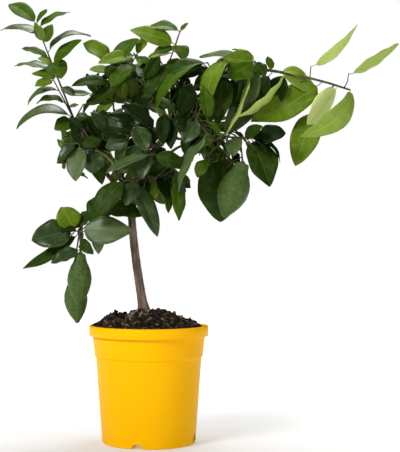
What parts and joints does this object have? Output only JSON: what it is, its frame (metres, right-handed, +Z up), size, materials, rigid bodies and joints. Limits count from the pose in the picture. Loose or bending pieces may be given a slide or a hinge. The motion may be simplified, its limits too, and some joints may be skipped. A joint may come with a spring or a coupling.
{
  "type": "potted lemon tree",
  "caption": "Small lemon tree with green lemons in a plain round nursery pot, with trunk, boughs and leafy masses as separate pieces.",
  "frame": {"origin": "centre of the pot's flat underside, on the surface that it stands on", "axes": "+Z up along the pot's axis; the picture is seen from -Y, with +X to its right, where the long low branch reaches"},
  "size_m": [0.6366, 0.2799, 0.7032],
  "materials": {
    "pot_plastic": "injection moulded polypropylene, soft sheen",
    "compost": "moist peat compost with bark chips",
    "bark": "thin grey-brown bark with fine cracks",
    "green_bark": "young bark, green to brown",
    "foliage": "waxy citrus leaves, paler underneath"
  },
  "bodies": {
    "root": {"pot": "pot_plastic", "potting_mix": "compost", "trunk": "bark", "bough_low_left": "green_bark", "bough_left": "green_bark", "bough_shoulder": "green_bark", "bough_left_top": "green_bark", "bough_right_high": "green_bark", "bough_right_low": "green_bark", "bough_right_top": "green_bark", "bough_low_front": "green_bark", "bough_front": "green_bark", "bough_front_right": "green_bark", "bough_back_left": "green_bark", "bough_back_right": "green_bark", "bough_back": "green_bark", "bough_low_back": "green_bark", "shoots_left": "foliage", "foliage_shoulder": "foliage", "foliage_left_top": "foliage", "foliage_crown": "foliage", "foliage_right_top": "foliage", "shoots_right": "foliage", "foliage_centre": "foliage", "foliage_front_right": "foliage", "lemon_right": "foliage", "hangers": "foliage", "lemon_left": "foliage", "foliage_back_left": "foliage", "foliage_back_right": "foliage", "foliage_back": "foliage", "foliage_low_back": "foliage"}
  },
  "joints": []
}
